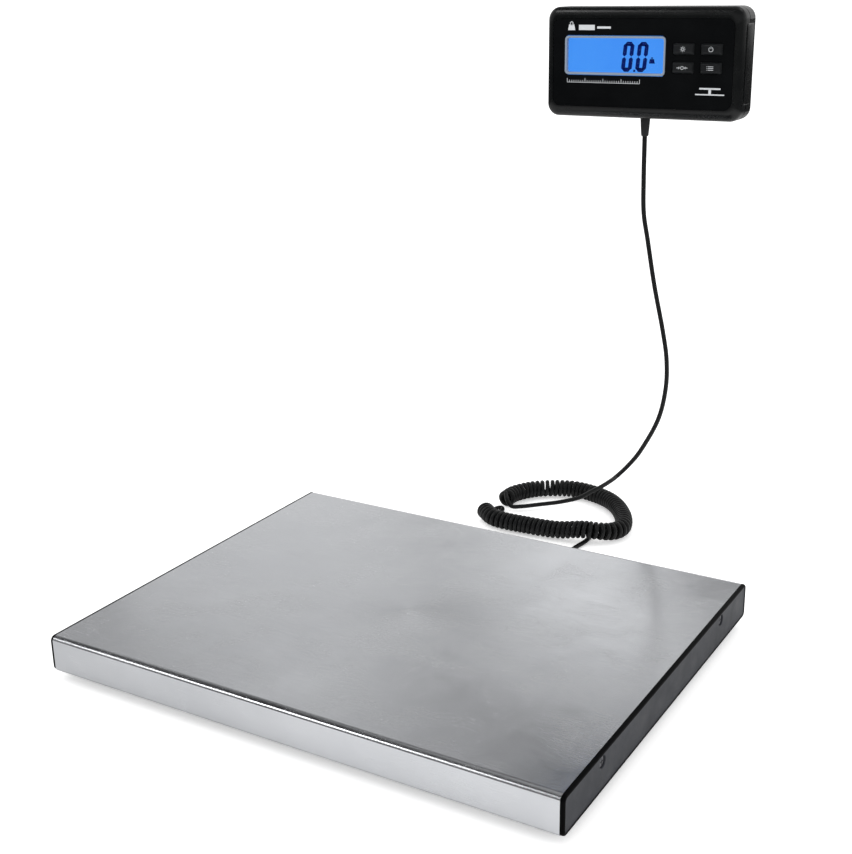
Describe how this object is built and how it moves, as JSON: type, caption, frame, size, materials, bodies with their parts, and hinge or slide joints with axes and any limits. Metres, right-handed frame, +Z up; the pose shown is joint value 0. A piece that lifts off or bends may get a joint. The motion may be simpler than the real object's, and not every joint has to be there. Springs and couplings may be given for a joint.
{
  "type": "platform shipping scale",
  "caption": "Low platform scale with a folded steel platter, black end caps and load cells at its corners, and a display head with keys on a coiled cord.",
  "frame": {"origin": "centre of the whole set's footprint on the floor, under the middle of its bounding box", "axes": "+Z up; +Y from the platform towards the display head and the coil; the platform's front skirt and the display's face look along -Y; +X to the right seen from the front"},
  "size_m": [0.381, 0.477, 0.4245],
  "materials": {
    "brushed_stainless": "brushed stainless sheet",
    "painted_pan": "satin black powder coat",
    "zinc_plate": "zinc plated steel",
    "cell_steel": "machined steel",
    "cap_plastic": "fine textured black moulding",
    "foot_plastic": "black moulding",
    "shell_plastic": "satin black moulding",
    "label_film": "smooth dark film",
    "key_plastic": "satin dark grey moulding",
    "black_rubber": "soft black rubber",
    "foot_rubber": "soft black rubber",
    "cord_jacket": "satin black cord jacket",
    "wire_sleeve": "grey wire sleeve",
    "circuit_board": "green solder resist",
    "frame_silver": "pale silver moulding",
    "clear_window": "clear window",
    "lcd_glass": "blue lit display glass",
    "light_guide": "translucent light guide",
    "battery_sleeve": "printed steel sleeve",
    "blackened_screw": "blackened steel"
  },
  "bodies": {
    "platform": {"platter_cover": "brushed_stainless", "base_pan": "painted_pan", "end_cap_left": "cap_plastic", "end_cap_right": "cap_plastic", "cap_screw_left_front": "blackened_screw", "cap_screw_left_rear": "blackened_screw", "cap_screw_right_front": "blackened_screw", "cap_screw_right_rear": "blackened_screw", "cell_rail_front": "zinc_plate", "cell_rail_rear": "zinc_plate", "load_cell_front_left": "cell_steel", "load_cell_front_right": "cell_steel", "load_cell_rear_left": "cell_steel", "load_cell_rear_right": "cell_steel", "cell_wire_front_left": "wire_sleeve", "cell_wire_front_right": "wire_sleeve", "cell_wire_rear_left": "wire_sleeve", "cell_wire_rear_right": "wire_sleeve", "junction_board": "circuit_board", "cord_gland": "black_rubber", "coiled_cord": "cord_jacket"},
    "foot_body_front_left": {"foot_front_left": "foot_plastic", "foot_pad_front_left": "foot_rubber"},
    "foot_body_front_right": {"foot_front_right": "foot_plastic", "foot_pad_front_right": "foot_rubber"},
    "foot_body_rear_left": {"foot_rear_left": "foot_plastic", "foot_pad_rear_left": "foot_rubber"},
    "foot_body_rear_right": {"foot_rear_right": "foot_plastic", "foot_pad_rear_right": "foot_rubber"},
    "straight_lead": {"display_lead": "cord_jacket"},
    "display": {"front_shell": "shell_plastic", "rear_shell": "shell_plastic", "label_panel": "label_film", "lcd_frame": "frame_silver", "lcd_window": "clear_window", "lcd_panel": "lcd_glass", "backlight": "light_guide", "main_board": "circuit_board", "key_mat": "black_rubber", "shell_screw_left_lower": "blackened_screw", "shell_screw_left_upper": "blackened_screw", "shell_screw_right_lower": "blackened_screw", "shell_screw_right_upper": "blackened_screw", "battery_lower": "battery_sleeve", "battery_middle": "battery_sleeve", "battery_upper": "battery_sleeve", "battery_contact_left": "zinc_plate", "battery_contact_right": "zinc_plate", "power_socket": "cap_plastic", "cord_boot": "black_rubber"},
    "light_key_body": {"key_light": "key_plastic"},
    "on_off_key_body": {"key_on_off": "key_plastic"},
    "tare_key_body": {"key_tare": "key_plastic"},
    "mode_key_body": {"key_mode": "key_plastic"},
    "battery_door_body": {"battery_door": "shell_plastic"}
  },
  "joints": [
    {"name": "foot_press_front_left", "type": "slide", "parent": "platform", "child": "foot_body_front_left", "axis": [0, 0, 1], "range_m": [0, 0.0005]},
    {"name": "foot_press_front_right", "type": "slide", "parent": "platform", "child": "foot_body_front_right", "axis": [0, 0, 1], "range_m": [0, 0.0005]},
    {"name": "foot_press_rear_left", "type": "slide", "parent": "platform", "child": "foot_body_rear_left", "axis": [0, 0, 1], "range_m": [0, 0.0005]},
    {"name": "foot_press_rear_right", "type": "slide", "parent": "platform", "child": "foot_body_rear_right", "axis": [0, 0, 1], "range_m": [0, 0.0005]},
    {"name": "display_raise", "type": "slide", "parent": "platform", "child": "straight_lead", "axis": [0, 0, 1], "range_m": [-0.1, 0.15], "stiffness_N_per_m": 200, "springref_m": 0.0108, "deforming": ["display_lead"]},
    {"name": "display_turn", "type": "hinge", "parent": "straight_lead", "child": "display", "pos_m": [0.0549, 0.181, 0.3435], "axis": [0, 0, 1], "range_deg": [-90, 90], "stiffness_Nm_per_rad": 0.02},
    {"name": "light_key_press", "type": "slide", "parent": "display", "child": "light_key_body", "axis": [0, 1, 0], "range_m": [0, 0.0008], "stiffness_N_per_m": 150},
    {"name": "on_off_key_press", "type": "slide", "parent": "display", "child": "on_off_key_body", "axis": [0, 1, 0], "range_m": [0, 0.0008], "stiffness_N_per_m": 150},
    {"name": "tare_key_press", "type": "slide", "parent": "display", "child": "tare_key_body", "axis": [0, 1, 0], "range_m": [0, 0.0008], "stiffness_N_per_m": 150},
    {"name": "mode_key_press", "type": "slide", "parent": "display", "child": "mode_key_body", "axis": [0, 1, 0], "range_m": [0, 0.0008], "stiffness_N_per_m": 150},
    {"name": "battery_door_open", "type": "hinge", "parent": "display", "child": "battery_door_body", "pos_m": [0.0549, 0.19418, 0.36835], "axis": [-1, 0, 0], "range_deg": [0, 80], "stiffness_Nm_per_rad": 0.004}
  ]
}
